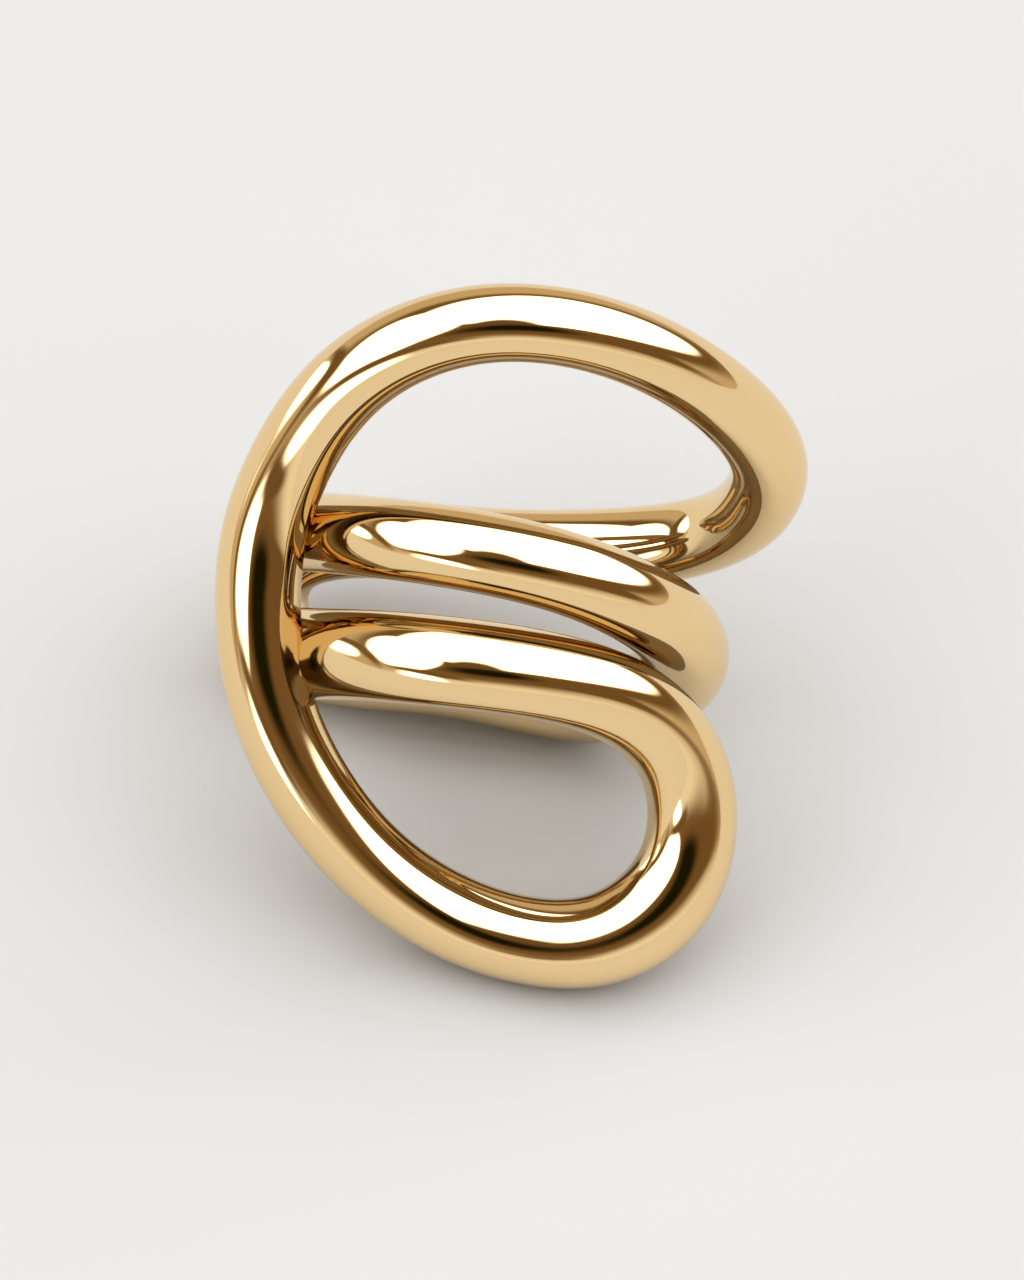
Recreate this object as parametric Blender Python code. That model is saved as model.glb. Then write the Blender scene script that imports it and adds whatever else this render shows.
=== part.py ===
"""Ear cuff bent from one round gold-plated wire, lying as it rests by itself on a flat surface.

Metres, +Z up. The wire is first laid out as it is worn: +X across the front, +Y away from the
front and +Z up. Its route runs along bar one, back in a hook at the right, through two legs and a
hairpin at the back, forward again in the upper hook, round the open loop and into bar two. The
end of each bar is soldered behind the left side of the loop. At last the cuff leans back until it
rests by itself on the bottom of the loop and on the two ends of the arched lower leg.
"""

from math import cos, pi, radians, sin

import bmesh
import bpy
import numpy as np
from mathutils import Matrix, Vector
from mathutils.bvhtree import BVHTree

# Driving sizes
FRONT_WIDTH = 0.0121  # wire centre to wire centre, left side of the loop to the upper hook
FRONT_HEIGHT = 0.0146  # wire centre to wire centre, bottom of the loop to its top
GRIP_DEPTH = 0.0098  # wire centre to wire centre, crest of the front to the legs at the back
WIRE_THICKNESS = 0.0020
BAR_GAP = 0.00068  # open slot between the two bars
LEG_GAP = 0.00095  # open slot between the two legs
JOINT_CLEARANCE = 0.00004  # how far short of the loop the plain wire stops
END_OVERLAP = 0.0010  # length that a soldered end shares with the plain wire
SOLDERED_SHARE = 0.98  # thickness of a soldered end, as a share of its bar
FIRST_LEAN = radians(50)  # how far the front leans back before the cuff settles

# Fineness
WIRE_STEP = 0.0005
ROUND_RESOLUTION = 5
TIP_ANGLES = (25, 45, 65, 90)  # degrees round the ball of a tip, one ring of points for each
SETTLE_STEPS = 12

# Each row is a station of the wire's centre line. across, up and deep are shares of the front's
# width, the front's height and the grip's depth, thick is a share of the wire's thickness, and
# above counts how many spacings of the bars (or of the legs) the station lies over its height.
BAR_ONE = (
    # across, up, above, deep, thick
    (0.033, 0.483, 1.00, 0.560, 0.97),
    (0.083, 0.481, 1.00, 0.495, 0.96),
    (0.179, 0.475, 1.00, 0.333, 0.96),
    (0.276, 0.466, 1.00, 0.193, 0.96),
    (0.439, 0.445, 1.00, 0.117, 0.97),
    (0.613, 0.409, 1.00, 0.146, 0.98),
    (0.739, 0.365, 1.00, 0.260, 1.01),
    (0.811, 0.324, 1.00, 0.404, 1.04),
    (0.837, 0.321, 0.80, 0.536, 1.04),
    (0.821, 0.341, 0.50, 0.657, 1.04),
    (0.746, 0.363, 0.20, 0.817, 1.03),
)
LOWER_LEG = (
    (0.595, 0.396, 0.00, 0.975, 1.01),
    (0.367, 0.434, 0.00, 0.962, 1.01),
    (0.128, 0.457, 0.00, 1.005, 1.01),
)
UPPER_LEG = (
    (0.128, 0.457, 1.00, 1.005, 0.99),
    (0.367, 0.449, 1.00, 0.984, 0.98),
    (0.595, 0.441, 1.00, 0.956, 0.97),
    (0.775, 0.449, 1.00, 0.895, 0.96),
)
LOOP = (
    (0.903, 0.674, 0.00, 0.789, 0.93),
    (0.988, 0.730, 0.00, 0.610, 0.94),
    (1.000, 0.774, 0.00, 0.507, 0.93),
    (0.969, 0.831, 0.00, 0.384, 0.93),
    (0.885, 0.896, 0.00, 0.242, 0.92),
    (0.756, 0.956, 0.00, 0.101, 0.92),
    (0.610, 0.992, 0.00, 0.020, 0.92),
    (0.460, 1.000, 0.00, 0.006, 0.93),
    (0.302, 0.970, 0.00, 0.052, 0.95),
    (0.167, 0.898, 0.00, 0.144, 0.98),
    (0.068, 0.785, 0.00, 0.246, 1.00),
    (0.014, 0.668, 0.00, 0.307, 1.02),
    (0.000, 0.540, 0.00, 0.336, 1.02),
    (0.028, 0.386, 0.00, 0.371, 1.01),
    (0.101, 0.254, 0.00, 0.421, 1.01),
    (0.224, 0.130, 0.00, 0.487, 1.00),
    (0.382, 0.042, 0.00, 0.535, 1.03),
    (0.542, 0.002, 0.00, 0.541, 1.06),
    (0.668, 0.006, 0.00, 0.527, 1.11),
    (0.769, 0.051, 0.00, 0.510, 1.14),
    (0.828, 0.119, 0.00, 0.493, 1.11),
    (0.849, 0.200, 0.00, 0.469, 1.07),
    (0.827, 0.296, 0.00, 0.414, 1.05),
)
BAR_TWO = (
    (0.749, 0.374, 0.00, 0.319, 1.06),
    (0.623, 0.422, 0.00, 0.209, 1.06),
    (0.457, 0.449, 0.00, 0.152, 1.07),
    (0.303, 0.463, 0.00, 0.188, 1.08),
    (0.193, 0.469, 0.00, 0.302, 1.08),
    (0.096, 0.471, 0.00, 0.453, 1.09),
    (0.023, 0.474, 0.00, 0.550, 1.09),
)
LOOP_LEFT = slice(9, 15)  # rows of LOOP that run down its left side, past both soldered ends


def table_thickness(table):
    """Mean of a table's thick column, in metres."""
    return WIRE_THICKNESS * sum(row[-1] for row in table) / len(table)


def stations(table, spacing):
    """A table's rows as x, y, z and thickness in metres."""
    return [
        (
            across * FRONT_WIDTH,
            deep * GRIP_DEPTH,
            up * FRONT_HEIGHT + above * spacing,
            thick * WIRE_THICKNESS,
        )
        for across, up, above, deep, thick in table
    ]


def hairpin(lower, upper):
    """Stations of the half circle that joins the ends of the two legs on their left."""
    lower = np.array(lower)
    upper = np.array(upper)
    middle = (lower + upper) / 2
    radius = (upper[2] - lower[2]) / 2
    bend = []
    for angle in (pi / 4, pi / 2, 3 * pi / 4):
        x, y, z, thickness = middle
        bend.append((x - radius * sin(angle), y, z - radius * cos(angle), thickness))
    return bend


def wire_stations():
    """All stations of the wire, from the left end of bar one to the left end of bar two."""
    bar_spacing = (table_thickness(BAR_ONE) + table_thickness(BAR_TWO)) / 2 + BAR_GAP
    leg_spacing = (table_thickness(LOWER_LEG) + table_thickness(UPPER_LEG)) / 2 + LEG_GAP
    lower_leg = stations(LOWER_LEG, leg_spacing)
    upper_leg = stations(UPPER_LEG, leg_spacing)
    return (
        stations(BAR_ONE, bar_spacing)
        + lower_leg
        + hairpin(lower_leg[-1], upper_leg[0])
        + upper_leg
        + stations(LOOP, bar_spacing)
        + stations(BAR_TWO, bar_spacing)
    )


def smooth_route(rows):
    """Evenly spaced samples of the natural cubic spline through the rows."""
    values = np.array(rows)
    gaps = np.linalg.norm(np.diff(values[:, :3], axis=0), axis=1)
    knots = np.concatenate(([0.0], np.cumsum(gaps)))
    slopes = np.diff(values, axis=0) / gaps[:, None]
    system = np.eye(len(rows))
    target = np.zeros_like(values)
    for row in range(1, len(rows) - 1):
        before, after = gaps[row - 1], gaps[row]
        system[row, row - 1 : row + 2] = before, 2 * (before + after), after
        target[row] = 6 * (slopes[row] - slopes[row - 1])
    bends = np.linalg.solve(system, target)

    places = np.linspace(0.0, knots[-1], round(knots[-1] / WIRE_STEP) + 1)
    left = np.clip(np.searchsorted(knots, places) - 1, 0, len(gaps) - 1)
    gap = gaps[left][:, None]
    done = (places - knots[left])[:, None]
    rest = gap - done
    curved = (bends[left] * rest**3 + bends[left + 1] * done**3) / (6 * gap)
    straight = (values[left] * rest + values[left + 1] * done) / gap
    pull = gap * (bends[left] * rest + bends[left + 1] * done) / 6
    return curved + straight - pull


def plain_stretch(samples):
    """First and last sample of the plain wire, which stops short of the loop at both ends.

    The bars meet the loop in the first and the last quarter of the wire.
    """
    loop_left = smooth_route(stations(LOOP[LOOP_LEFT], 0.0))
    apart = np.linalg.norm(samples[:, None, :3] - loop_left[None, :, :3], axis=2)
    needed = (samples[:, None, 3] + loop_left[None, :, 3]) / 2 + JOINT_CLEARANCE
    meets = np.any(apart < needed, axis=1)
    quarter = len(samples) // 4
    first = np.flatnonzero(meets[:quarter])[-1] + 1
    last = len(samples) - quarter + np.flatnonzero(meets[-quarter:])[0] - 1
    return int(first), int(last)


def rounded_end(samples):
    """A soldered end: slightly thinner than its bar, and rounded like half a ball at its tip."""
    steps = np.linalg.norm(np.diff(samples[:, :3], axis=0), axis=1)
    along = np.concatenate(([0.0], np.cumsum(steps)))
    radius = SOLDERED_SHARE * samples[0, 3] / 2
    angles = np.radians(TIP_ANGLES)
    tip = radius * (1 - np.cos(angles))
    places = np.concatenate((tip, along[along > radius + WIRE_STEP / 2]))
    end = np.stack([np.interp(places, along, column) for column in samples.T], axis=1)
    end[:, 3] *= SOLDERED_SHARE
    end[: len(tip), 3] *= np.sin(angles)
    return end


def wire_mesh_object(name, samples, collection, material):
    """A round wire along the samples, as a closed mesh."""
    curve = bpy.data.curves.new(name + "_line", "CURVE")
    curve.dimensions = "3D"
    curve.bevel_depth = 1.0
    curve.bevel_resolution = ROUND_RESOLUTION
    curve.use_fill_caps = True
    spline = curve.splines.new("POLY")
    spline.points.add(len(samples) - 1)
    for point, (x, y, z, thickness) in zip(spline.points, samples):
        point.co = (x, y, z, 1.0)
        point.radius = thickness / 2
    line = bpy.data.objects.new(name + "_line", curve)
    collection.objects.link(line)
    bpy.context.view_layer.update()

    evaluated = line.evaluated_get(bpy.context.evaluated_depsgraph_get())
    mesh = bpy.data.meshes.new_from_object(evaluated)
    mesh.name = name
    weld = bmesh.new()
    weld.from_mesh(mesh)
    bmesh.ops.remove_doubles(weld, verts=weld.verts, dist=1e-7)
    bmesh.ops.recalc_face_normals(weld, faces=weld.faces)
    weld.to_mesh(mesh)
    weld.free()
    mesh.shade_smooth()
    mesh.set_sharp_from_angle(angle=radians(50))
    mesh.materials.clear()
    mesh.materials.append(material)
    wire = bpy.data.objects.new(name, mesh)
    wire.matrix_world = line.matrix_world
    collection.objects.link(wire)
    bpy.data.objects.remove(line)
    return wire


def join_solid(body, extra):
    """Unite an extra solid with the body by a Boolean."""
    union = body.modifiers.new("join_" + extra.name, "BOOLEAN")
    union.operation = "UNION"
    union.solver = "EXACT"
    union.object = extra
    extra.hide_render = True
    extra.display_type = "WIRE"


def centre_of_mass(samples):
    """Centre of mass of the wire, from its samples weighted by their section."""
    weights = samples[:, 3] ** 2
    return Vector((samples[:, :3] * weights[:, None]).sum(axis=0) / weights.sum())


def resting_turn(wire, centre):
    """The turn that lays the cuff on the flat side of its hull that lies under its centre of mass.

    From the first lean, the side that the centre's plumb line meets becomes the new underside,
    until the plumb line stays on that side.
    """
    hull = bmesh.new()
    for vertex in wire.data.vertices:
        hull.verts.new(vertex.co)
    bmesh.ops.convex_hull(hull, input=hull.verts)
    sides = BVHTree.FromBMesh(hull)
    hull.free()
    down = Vector((0.0, sin(FIRST_LEAN), -cos(FIRST_LEAN)))
    for _ in range(SETTLE_STEPS):
        _, normal, _, _ = sides.ray_cast(centre, down)
        down = normal if normal.dot(down) > 0 else -normal
    return down.rotation_difference(Vector((0.0, 0.0, -1.0))).to_matrix().to_4x4()


def set_down(solids, turn):
    """Turn the solids and stand them on z = 0, centred over the origin."""
    corners = np.array([turn @ vertex.co for solid in solids for vertex in solid.data.vertices])
    low = corners.min(axis=0)
    high = corners.max(axis=0)
    middle = (low + high) / 2
    move = Matrix.Translation((-middle[0], -middle[1], -low[2]))
    for solid in solids:
        solid.matrix_world = move @ turn


def polished_gold():
    """Warm yellow gold plate with a mirror polish."""
    material = bpy.data.materials.new("polished_gold")
    material.use_nodes = True
    shader = material.node_tree.nodes["Principled BSDF"]
    shader.inputs["Base Color"].default_value = (0.91, 0.66, 0.34, 1.0)
    shader.inputs["Metallic"].default_value = 1.0
    shader.inputs["Roughness"].default_value = 0.08
    return material


def new_collection(name):
    """A collection under the scene."""
    collection = bpy.data.collections.new(name)
    bpy.context.scene.collection.children.link(collection)
    return collection


def build_cuff():
    """The whole cuff: the plain wire with its two soldered ends, as one solid."""
    samples = smooth_route(wire_stations())
    first, last = plain_stretch(samples)
    shared = max(1, round(END_OVERLAP / WIRE_STEP))

    gold = polished_gold()
    parts = new_collection("ear_cuff")
    joining = new_collection("ear_cuff_soldered_ends")
    wire = wire_mesh_object("cuff_wire", samples[first : last + 1], parts, gold)
    ends = [
        wire_mesh_object("bar_one_end", rounded_end(samples[: first + 1 + shared]), joining, gold),
        wire_mesh_object("bar_two_end", rounded_end(samples[last - shared :][::-1]), joining, gold),
    ]

    turn = resting_turn(wire, centre_of_mass(samples))
    set_down([wire, *ends], turn)
    for end in ends:
        join_solid(wire, end)


def main():
    for old in list(bpy.data.objects):
        bpy.data.objects.remove(old)
    build_cuff()


main()
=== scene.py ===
"""Looks of the ear cuff: polished gold wire on a pale floor in soft studio light.

The wire is drawn again from the stations of its centre line, with finer rings than the solid has,
and lies in the same resting pose. Metres, +Z up.
"""

from math import cos, pi, radians, sin

import bpy
import numpy as np
from mathutils import Matrix, Vector


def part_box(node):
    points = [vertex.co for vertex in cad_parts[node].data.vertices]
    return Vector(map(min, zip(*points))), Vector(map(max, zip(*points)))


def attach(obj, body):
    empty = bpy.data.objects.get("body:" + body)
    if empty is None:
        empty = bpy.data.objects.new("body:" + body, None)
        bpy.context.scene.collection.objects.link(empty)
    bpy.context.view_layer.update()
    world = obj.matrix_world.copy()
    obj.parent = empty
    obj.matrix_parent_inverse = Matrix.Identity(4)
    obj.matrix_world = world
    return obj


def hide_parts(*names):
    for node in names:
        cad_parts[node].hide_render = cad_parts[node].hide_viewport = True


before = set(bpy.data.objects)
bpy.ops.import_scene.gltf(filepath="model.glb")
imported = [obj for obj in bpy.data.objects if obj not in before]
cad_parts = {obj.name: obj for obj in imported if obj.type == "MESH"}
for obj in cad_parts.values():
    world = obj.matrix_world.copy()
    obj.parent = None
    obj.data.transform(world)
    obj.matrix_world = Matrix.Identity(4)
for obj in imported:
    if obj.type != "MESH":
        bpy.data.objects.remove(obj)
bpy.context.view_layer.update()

# Sizes of the wire, the same as in the solid
FRONT_WIDTH = 0.0121
FRONT_HEIGHT = 0.0146
GRIP_DEPTH = 0.0098
WIRE_THICKNESS = 0.0020
BAR_GAP = 0.00068
LEG_GAP = 0.00095

# Resting pose: how far the front leans back, and how far the line that it leans over is turned
REST_LEAN = radians(54.08)
REST_SKEW = radians(4.02)

# Fineness
WIRE_STEP = 0.0001  # distance between two rings
ROUND_SIDES = 48
TIP_ANGLES = (8, 20, 32, 44, 56, 68, 79, 90)  # rings of a rounded end, in degrees from its tip

# Each row is a station of the wire's centre line. across, up and deep are shares of the front's
# width, the front's height and the grip's depth, thick is a share of the wire's thickness, and
# above counts how many spacings of the bars (or of the legs) the station lies over its height.
BAR_ONE = (
    # across, up, above, deep, thick
    (0.033, 0.483, 1.00, 0.560, 0.97),
    (0.083, 0.481, 1.00, 0.495, 0.96),
    (0.179, 0.475, 1.00, 0.333, 0.96),
    (0.276, 0.466, 1.00, 0.193, 0.96),
    (0.439, 0.445, 1.00, 0.117, 0.97),
    (0.613, 0.409, 1.00, 0.146, 0.98),
    (0.739, 0.365, 1.00, 0.260, 1.01),
    (0.811, 0.324, 1.00, 0.404, 1.04),
    (0.837, 0.321, 0.80, 0.536, 1.04),
    (0.821, 0.341, 0.50, 0.657, 1.04),
    (0.746, 0.363, 0.20, 0.817, 1.03),
)
LOWER_LEG = (
    (0.595, 0.396, 0.00, 0.975, 1.01),
    (0.367, 0.434, 0.00, 0.962, 1.01),
    (0.128, 0.457, 0.00, 1.005, 1.01),
)
UPPER_LEG = (
    (0.128, 0.457, 1.00, 1.005, 0.99),
    (0.367, 0.449, 1.00, 0.984, 0.98),
    (0.595, 0.441, 1.00, 0.956, 0.97),
    (0.775, 0.449, 1.00, 0.895, 0.96),
)
LOOP = (
    (0.903, 0.674, 0.00, 0.789, 0.93),
    (0.988, 0.730, 0.00, 0.610, 0.94),
    (1.000, 0.774, 0.00, 0.507, 0.93),
    (0.969, 0.831, 0.00, 0.384, 0.93),
    (0.885, 0.896, 0.00, 0.242, 0.92),
    (0.756, 0.956, 0.00, 0.101, 0.92),
    (0.610, 0.992, 0.00, 0.020, 0.92),
    (0.460, 1.000, 0.00, 0.006, 0.93),
    (0.302, 0.970, 0.00, 0.052, 0.95),
    (0.167, 0.898, 0.00, 0.144, 0.98),
    (0.068, 0.785, 0.00, 0.246, 1.00),
    (0.014, 0.668, 0.00, 0.307, 1.02),
    (0.000, 0.540, 0.00, 0.336, 1.02),
    (0.028, 0.386, 0.00, 0.371, 1.01),
    (0.101, 0.254, 0.00, 0.421, 1.01),
    (0.224, 0.130, 0.00, 0.487, 1.00),
    (0.382, 0.042, 0.00, 0.535, 1.03),
    (0.542, 0.002, 0.00, 0.541, 1.06),
    (0.668, 0.006, 0.00, 0.527, 1.11),
    (0.769, 0.051, 0.00, 0.510, 1.14),
    (0.828, 0.119, 0.00, 0.493, 1.11),
    (0.849, 0.200, 0.00, 0.469, 1.07),
    (0.827, 0.296, 0.00, 0.414, 1.05),
)
BAR_TWO = (
    (0.749, 0.374, 0.00, 0.319, 1.06),
    (0.623, 0.422, 0.00, 0.209, 1.06),
    (0.457, 0.449, 0.00, 0.152, 1.07),
    (0.303, 0.463, 0.00, 0.188, 1.08),
    (0.193, 0.469, 0.00, 0.302, 1.08),
    (0.096, 0.471, 0.00, 0.453, 1.09),
    (0.023, 0.474, 0.00, 0.550, 1.09),
)

# Camera: a long lens that looks square at the front of the cuff as it is worn
VIEW_CENTRE = (0.0060, 0.0030, 0.0072)  # point of the worn cuff in the middle of the frame
VIEW_HEIGHT = 0.0302  # height of the frame at that point
VIEW_DISTANCE = 0.30
SENSOR = 36.0  # longer side of the picture on the sensor, in millimetres
CLIP_START = 0.01

# Mapping of the wire: millimetres along it and turns round it
MAPPING = "along_and_round"
MILLIMETRES = 1000  # in a metre

# Gold: faint clouds shift its tone and its polish, and faint drawing lines run along the wire
GOLD_TONES = ((0.92, 0.675, 0.355, 1.0), (0.90, 0.645, 0.32, 1.0))
GOLD_ROUGHNESS = (0.045, 0.075)
CLOUD_SCALE = 350.0  # clouds in a metre
CLOUD_DETAIL = 3.0
CLOUD_RANGE = (0.3, 0.7)  # strengths of a cloud between which the roughness grows
LINE_SCALE = (0.25, 9.0, 1.0)  # lines in a millimetre along the wire and in a turn round it
LINE_DETAIL = 2.0
LINE_STRENGTH = 0.006
LINE_DEPTH = 0.0001

# Floor
FLOOR_REACH = 3.0  # from its middle to each side
FLOOR_COLOUR = (0.385, 0.377, 0.363, 1.0)
FLOOR_ROUGHNESS = 0.9
FLOOR_GLOSS = 0.1


def table_thickness(table):
    """Mean of a table's thick column, in metres."""
    return WIRE_THICKNESS * sum(row[-1] for row in table) / len(table)


def stations(table, spacing):
    """A table's rows as x, y, z and thickness in metres."""
    return [
        (
            across * FRONT_WIDTH,
            deep * GRIP_DEPTH,
            up * FRONT_HEIGHT + above * spacing,
            thick * WIRE_THICKNESS,
        )
        for across, up, above, deep, thick in table
    ]


def hairpin(lower, upper):
    """Stations of the half circle that joins the ends of the two legs on their left."""
    lower = np.array(lower)
    upper = np.array(upper)
    middle = (lower + upper) / 2
    radius = (upper[2] - lower[2]) / 2
    bend = []
    for angle in (pi / 4, pi / 2, 3 * pi / 4):
        x, y, z, thickness = middle
        bend.append((x - radius * sin(angle), y, z - radius * cos(angle), thickness))
    return bend


def wire_stations():
    """All stations of the wire, from the left end of bar one to the left end of bar two."""
    bar_spacing = (table_thickness(BAR_ONE) + table_thickness(BAR_TWO)) / 2 + BAR_GAP
    leg_spacing = (table_thickness(LOWER_LEG) + table_thickness(UPPER_LEG)) / 2 + LEG_GAP
    lower_leg = stations(LOWER_LEG, leg_spacing)
    upper_leg = stations(UPPER_LEG, leg_spacing)
    return (
        stations(BAR_ONE, bar_spacing)
        + lower_leg
        + hairpin(lower_leg[-1], upper_leg[0])
        + upper_leg
        + stations(LOOP, bar_spacing)
        + stations(BAR_TWO, bar_spacing)
    )


def smooth_route(rows):
    """Evenly spaced samples of the natural cubic spline through the rows."""
    values = np.array(rows)
    gaps = np.linalg.norm(np.diff(values[:, :3], axis=0), axis=1)
    knots = np.concatenate(([0.0], np.cumsum(gaps)))
    slopes = np.diff(values, axis=0) / gaps[:, None]
    system = np.eye(len(rows))
    target = np.zeros_like(values)
    for row in range(1, len(rows) - 1):
        before, after = gaps[row - 1], gaps[row]
        system[row, row - 1 : row + 2] = before, 2 * (before + after), after
        target[row] = 6 * (slopes[row] - slopes[row - 1])
    bends = np.linalg.solve(system, target)

    places = np.linspace(0.0, knots[-1], round(knots[-1] / WIRE_STEP) + 1)
    left = np.clip(np.searchsorted(knots, places) - 1, 0, len(gaps) - 1)
    gap = gaps[left][:, None]
    done = (places - knots[left])[:, None]
    rest = gap - done
    curved = (bends[left] * rest**3 + bends[left + 1] * done**3) / (6 * gap)
    straight = (values[left] * rest + values[left + 1] * done) / gap
    pull = gap * (bends[left] * rest + bends[left + 1] * done) / 6
    return curved + straight - pull


def steady_sides(centres):
    """For each centre, two directions square to the wire that turn as little as they can."""
    along = np.gradient(centres, axis=0)
    along /= np.linalg.norm(along, axis=1)[:, None]
    side = np.array((0.0, 0.0, 1.0))
    firsts = []
    for direction in along:
        side = side - direction * (side @ direction)
        side /= np.linalg.norm(side)
        firsts.append(side)
    firsts = np.array(firsts)
    return firsts, np.cross(along, firsts)


def round_tips(samples):
    """The samples with the rings of half a ball at both ends of the run."""
    steps = np.linalg.norm(np.diff(samples[:, :3], axis=0), axis=1)
    along = np.concatenate(([0.0], np.cumsum(steps)))
    angles = np.radians(TIP_ANGLES)
    shares = np.sin(angles)
    start = samples[0, 3] / 2 * (1 - np.cos(angles))
    end = along[-1] - samples[-1, 3] / 2 * (1 - np.cos(angles))
    middle = along[(along > start[-1] + WIRE_STEP / 2) & (along < end[-1] - WIRE_STEP / 2)]
    places = np.concatenate((start, middle, end[::-1]))
    tipped = np.stack([np.interp(places, along, column) for column in samples.T], axis=1)
    tipped[: len(shares), 3] *= shares
    tipped[-len(shares) :, 3] *= shares[::-1]
    return tipped


def wire_object(name, samples, material):
    """The round wire as a mesh, mapped with millimetres along it and turns round it."""
    samples = round_tips(samples)
    centres = samples[:, :3]
    radii = samples[:, 3] / 2
    firsts, seconds = steady_sides(centres)
    turns = np.arange(ROUND_SIDES) / ROUND_SIDES
    cosines = np.cos(2 * pi * turns)[None, :, None]
    sines = np.sin(2 * pi * turns)[None, :, None]
    spread = firsts[:, None] * cosines + seconds[:, None] * sines
    points = (centres[:, None] + radii[:, None, None] * spread).reshape(-1, 3)

    faces = []
    for ring in range(len(centres) - 1):
        for side in range(ROUND_SIDES):
            here = ring * ROUND_SIDES + side
            beside = ring * ROUND_SIDES + (side + 1) % ROUND_SIDES
            faces.append((here, beside, beside + ROUND_SIDES, here + ROUND_SIDES))
    first_ring = range(ROUND_SIDES)
    last_ring = range(len(points) - ROUND_SIDES, len(points))
    faces += [tuple(reversed(first_ring)), tuple(last_ring)]
    mesh = bpy.data.meshes.new(name)
    mesh.from_pydata(points.tolist(), [], faces)

    steps = np.linalg.norm(np.diff(centres, axis=0), axis=1)
    along = np.concatenate(([0.0], np.cumsum(steps))) * MILLIMETRES
    corners = []
    for ring in range(len(centres) - 1):
        for side in range(ROUND_SIDES):
            left, right = side / ROUND_SIDES, (side + 1) / ROUND_SIDES
            low, high = along[ring], along[ring + 1]
            corners += [(low, left), (low, right), (high, right), (high, left)]
    corners += [(along[0], 1 - turn) for turn in turns] + [(along[-1], turn) for turn in turns]
    layer = mesh.uv_layers.new(name=MAPPING)
    layer.data.foreach_set("uv", np.array(corners).ravel())
    mesh.validate()
    mesh.shade_smooth()
    mesh.materials.append(material)
    wire = bpy.data.objects.new(name, mesh)
    bpy.context.scene.collection.objects.link(wire)
    return wire


def rest_turn():
    """The turn from the worn cuff to the resting one."""
    axis = Vector((cos(REST_SKEW), sin(REST_SKEW), 0.0))
    return Matrix.Rotation(-REST_LEAN, 4, axis)


def rest_place(wire, turn):
    """The turn and the move that lay the wire where the solid lies."""
    points = np.array([turn @ vertex.co for vertex in wire.data.vertices])
    middle = (points.min(axis=0) + points.max(axis=0)) / 2
    low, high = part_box("cuff_wire")
    move = (low + high) / 2 - Vector(middle)
    move.z = low.z - points[:, 2].min()
    return Matrix.Translation(move) @ turn


class Nodes:
    """Short ways to add nodes to a tree and to link them."""

    def __init__(self, tree):
        self.tree = tree

    def add(self, kind, **settings):
        node = self.tree.nodes.new(kind)
        for name, value in settings.items():
            setattr(node, name, value)
        return node

    def link(self, source, target):
        if hasattr(source, "node"):
            self.tree.links.new(source, target)
        else:
            target.default_value = source

    def math(self, operation, *values):
        node = self.add("ShaderNodeMath", operation=operation)
        for value, socket in zip(values, node.inputs):
            self.link(value, socket)
        return node.outputs[0]

    def noise(self, place, scale, detail):
        node = self.add("ShaderNodeTexNoise")
        self.link(place, node.inputs["Vector"])
        node.inputs["Scale"].default_value = scale
        node.inputs["Detail"].default_value = detail
        return node.outputs["Fac"]

    def dot(self, source, direction):
        node = self.add("ShaderNodeVectorMath", operation="DOT_PRODUCT")
        self.link(source, node.inputs[0])
        node.inputs[1].default_value = direction
        return node.outputs["Value"]

    def smooth_step(self, value, low, high, to_low=0.0, to_high=1.0):
        node = self.add("ShaderNodeMapRange", interpolation_type="SMOOTHSTEP")
        for part, socket in zip((value, low, high, to_low, to_high), node.inputs):
            self.link(part, socket)
        return node.outputs[0]

    def mix(self, share, first, second):
        node = self.add("ShaderNodeMix", data_type="RGBA")
        self.link(share, node.inputs["Factor"])
        self.link(first, node.inputs["A"])
        self.link(second, node.inputs["B"])
        return node.outputs["Result"]


def oval(nodes, right, up, centre, radii, turned, soft):
    """1 inside an oval of the two coordinates and 0 outside, with a soft edge."""
    x = nodes.math("SUBTRACT", right, centre[0])
    y = nodes.math("SUBTRACT", up, centre[1])
    wide = nodes.math(
        "ADD",
        nodes.math("MULTIPLY", x, cos(turned)),
        nodes.math("MULTIPLY", y, sin(turned)),
    )
    tall = nodes.math(
        "SUBTRACT",
        nodes.math("MULTIPLY", y, cos(turned)),
        nodes.math("MULTIPLY", x, sin(turned)),
    )
    squares = []
    for way, radius in zip((wide, tall), radii):
        share = nodes.math("ABSOLUTE", nodes.math("DIVIDE", way, radius))
        squares.append(nodes.math("POWER", share, 2.0))
    far = nodes.math("SQRT", nodes.math("ADD", *squares))
    return nodes.smooth_step(far, 1.0 + soft, 1.0 - soft)


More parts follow.
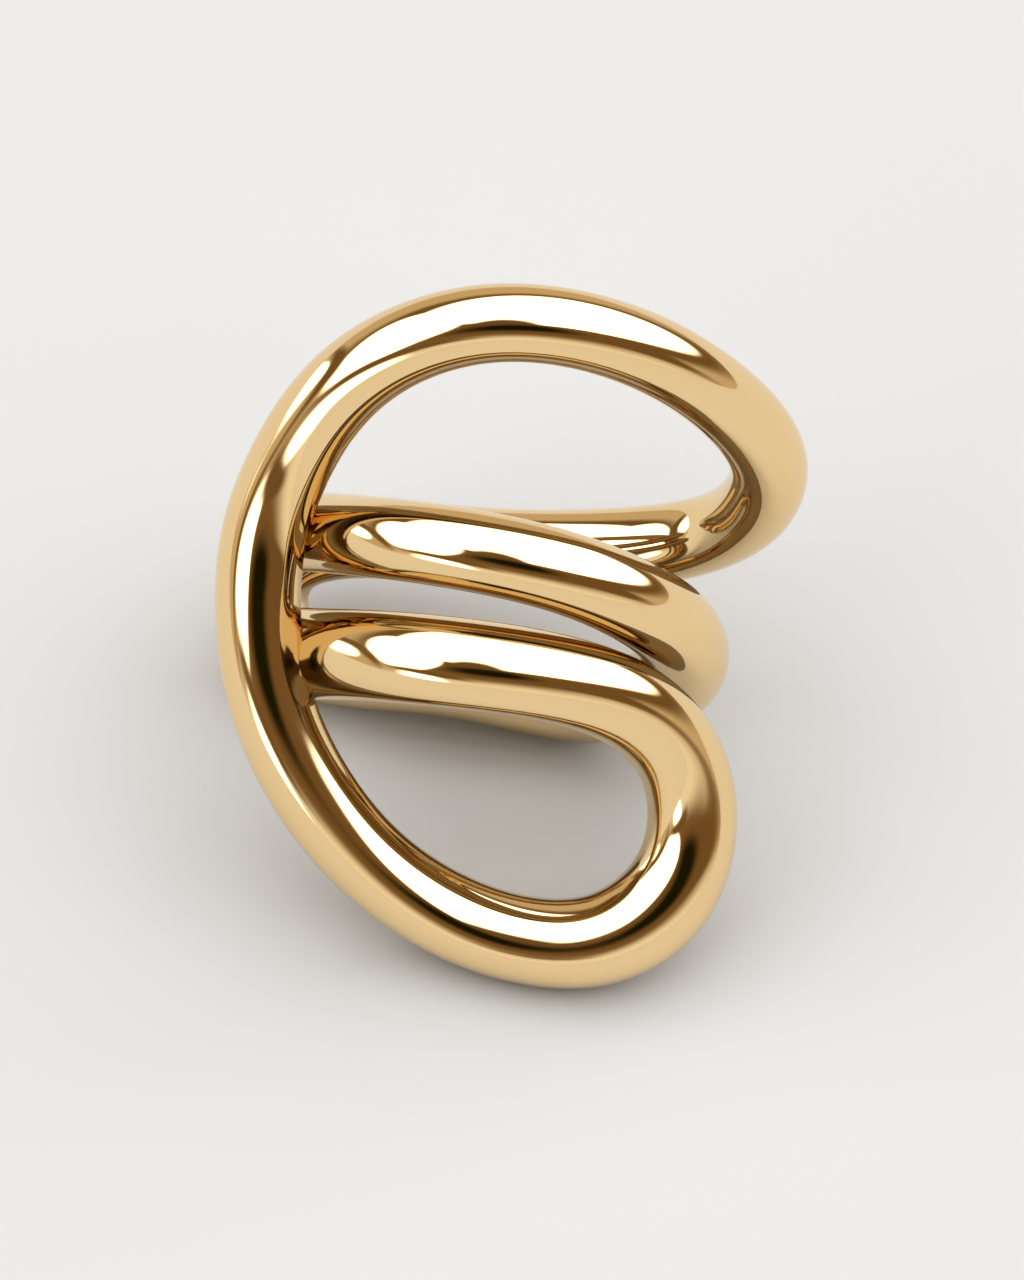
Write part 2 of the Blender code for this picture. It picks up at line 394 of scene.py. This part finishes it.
# The studio round the cuff. Each row is an oval of light or dark and covers the rows above it. Its
# place says how the gold must face to mirror it to the front view: right and up are the sines of
# the gold's turn from that view. Colours are strengths of light.
STUDIO = (
    # right, up, half width, half height, turned in degrees, softness, colour
    (0.00, -0.60, 0.95, 0.42, 0, 0.25, (0.92, 0.89, 0.84)),
    (0.08, 0.25, 0.69, 0.48, 0, 0.07, (0.17, 0.10, 0.04)),
    (0.02, -0.20, 0.42, 0.15, 0, 0.45, (0.20, 0.12, 0.05)),
    (0.15, 0.31, 0.54, 0.36, -6, 0.04, (3.10, 3.15, 3.25)),
    (-0.37, 0.14, 0.20, 0.34, 6, 0.06, (3.10, 3.15, 3.25)),
    (-0.30, -0.34, 0.14, 0.06, -40, 0.30, (3.10, 3.15, 3.25)),
    (-0.28, -0.25, 0.22, 0.04, -27, 0.35, (0.17, 0.10, 0.04)),
    (0.20, -0.16, 0.42, 0.11, 0, 0.16, (0.17, 0.10, 0.04)),
    (-0.03, -0.09, 0.13, 0.16, 10, 0.18, (0.15, 0.09, 0.04)),
    (0.02, -0.14, 0.18, 0.07, -4, 0.50, (0.01, 0.01, 0.00)),
    (-0.60, 0.16, 0.03, 0.34, 12, 0.40, (0.17, 0.10, 0.04)),
    (-0.69, 0.21, 0.05, 0.20, 12, 0.15, (2.90, 2.95, 3.05)),
)
ROOM_LIGHT = (0.60, 0.50, 0.36)  # light from where no oval is
BACKDROP = (0.85, 0.84, 0.82)  # what the camera sees past the floor
CREASE_LIGHT = 0.25  # share of the light that is left where gold mirrors gold
CREASE_DEPTH = 1.5  # a ray that met more gold than this comes from such a crease


def studio_light(front, up):
    """A warm room with a large soft box high in front, smaller ones at its left and dark around."""
    world = bpy.data.worlds.new("studio")
    world.use_nodes = True
    world.node_tree.nodes.clear()
    nodes = Nodes(world.node_tree)
    direction = nodes.add("ShaderNodeTexCoord").outputs["Generated"]
    right = up.cross(front)
    halfway = nodes.add("ShaderNodeVectorMath", operation="ADD")
    nodes.link(direction, halfway.inputs[0])
    halfway.inputs[1].default_value = front
    unit = nodes.add("ShaderNodeVectorMath", operation="NORMALIZE")
    nodes.link(halfway.outputs[0], unit.inputs[0])
    rightward = nodes.dot(unit.outputs[0], right)
    upward = nodes.dot(unit.outputs[0], up)

    colour = (*ROOM_LIGHT, 1.0)
    for across, high, wide, tall, turned, soft, light in STUDIO:
        share = oval(nodes, rightward, upward, (across, high), (wide, tall), radians(turned), soft)
        colour = nodes.mix(share, colour, (*light, 1.0))

    path = nodes.add("ShaderNodeLightPath")
    background = nodes.add("ShaderNodeBackground")
    seen = nodes.mix(path.outputs["Is Camera Ray"], colour, (*BACKDROP, 1.0))
    nodes.link(seen, background.inputs["Color"])
    crease = nodes.math("GREATER_THAN", path.outputs["Glossy Depth"], CREASE_DEPTH)
    dimmed = nodes.math("MULTIPLY_ADD", crease, CREASE_LIGHT - 1.0, 1.0)
    nodes.link(dimmed, background.inputs["Strength"])
    output = nodes.add("ShaderNodeOutputWorld")
    nodes.link(background.outputs[0], output.inputs["Surface"])
    bpy.context.scene.world = world


def polished_gold():
    """Yellow gold plate: a mirror polish with faint drawing lines along the wire."""
    material = bpy.data.materials.new("polished_gold")
    material.use_nodes = True
    nodes = Nodes(material.node_tree)
    shader = material.node_tree.nodes["Principled BSDF"]
    shader.inputs["Metallic"].default_value = 1.0
    places = nodes.add("ShaderNodeUVMap", uv_map=MAPPING).outputs[0]
    stretched = nodes.add("ShaderNodeMapping")
    nodes.link(places, stretched.inputs["Vector"])
    stretched.inputs["Scale"].default_value = LINE_SCALE
    lines = nodes.noise(stretched.outputs[0], 1.0, LINE_DETAIL)

    solid = nodes.add("ShaderNodeTexCoord").outputs["Object"]
    clouds = nodes.noise(solid, CLOUD_SCALE, CLOUD_DETAIL)
    tone = nodes.mix(clouds, *GOLD_TONES)
    nodes.link(tone, shader.inputs["Base Color"])
    roughness = nodes.smooth_step(clouds, *CLOUD_RANGE, *GOLD_ROUGHNESS)
    nodes.link(roughness, shader.inputs["Roughness"])

    bump = nodes.add("ShaderNodeBump")
    bump.inputs["Strength"].default_value = LINE_STRENGTH
    bump.inputs["Distance"].default_value = LINE_DEPTH
    nodes.link(lines, bump.inputs["Height"])
    nodes.link(bump.outputs[0], shader.inputs["Normal"])
    return material


def pale_floor():
    """A wide plain floor under the cuff."""
    reach = FLOOR_REACH
    corners = [(-reach, -reach, 0), (reach, -reach, 0), (reach, reach, 0), (-reach, reach, 0)]
    mesh = bpy.data.meshes.new("floor")
    mesh.from_pydata(corners, [], [(0, 1, 2, 3)])
    material = bpy.data.materials.new("pale_floor")
    material.use_nodes = True
    shader = material.node_tree.nodes["Principled BSDF"]
    shader.inputs["Base Color"].default_value = FLOOR_COLOUR
    shader.inputs["Roughness"].default_value = FLOOR_ROUGHNESS
    shader.inputs["Specular IOR Level"].default_value = FLOOR_GLOSS
    mesh.materials.append(material)
    floor = bpy.data.objects.new("floor", mesh)
    bpy.context.scene.collection.objects.link(floor)


def camera(place, front, up):
    """A camera with a long lens in front of the worn cuff's middle."""
    data = bpy.data.cameras.new("camera")
    data.sensor_width = SENSOR
    data.lens = SENSOR * VIEW_DISTANCE / VIEW_HEIGHT
    data.clip_start = CLIP_START
    eye = bpy.data.objects.new("camera", data)
    right = up.cross(front)
    turn = Matrix((right, up, front)).transposed().to_4x4()
    middle = place @ Vector(VIEW_CENTRE)
    eye.matrix_world = Matrix.Translation(middle + front * VIEW_DISTANCE) @ turn
    bpy.context.scene.collection.objects.link(eye)
    bpy.context.scene.camera = eye


bpy.context.scene.view_settings.view_transform = "Standard"

gold = polished_gold()
wire = wire_object("gold_wire", smooth_route(wire_stations()), gold)
turn = rest_turn()
place = rest_place(wire, turn)
wire.data.transform(place)
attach(wire, "root")
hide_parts("cuff_wire")

front = turn.to_3x3() @ Vector((0.0, -1.0, 0.0))
up = turn.to_3x3() @ Vector((0.0, 0.0, 1.0))
studio_light(front, up)
pale_floor()
camera(place, front, up)
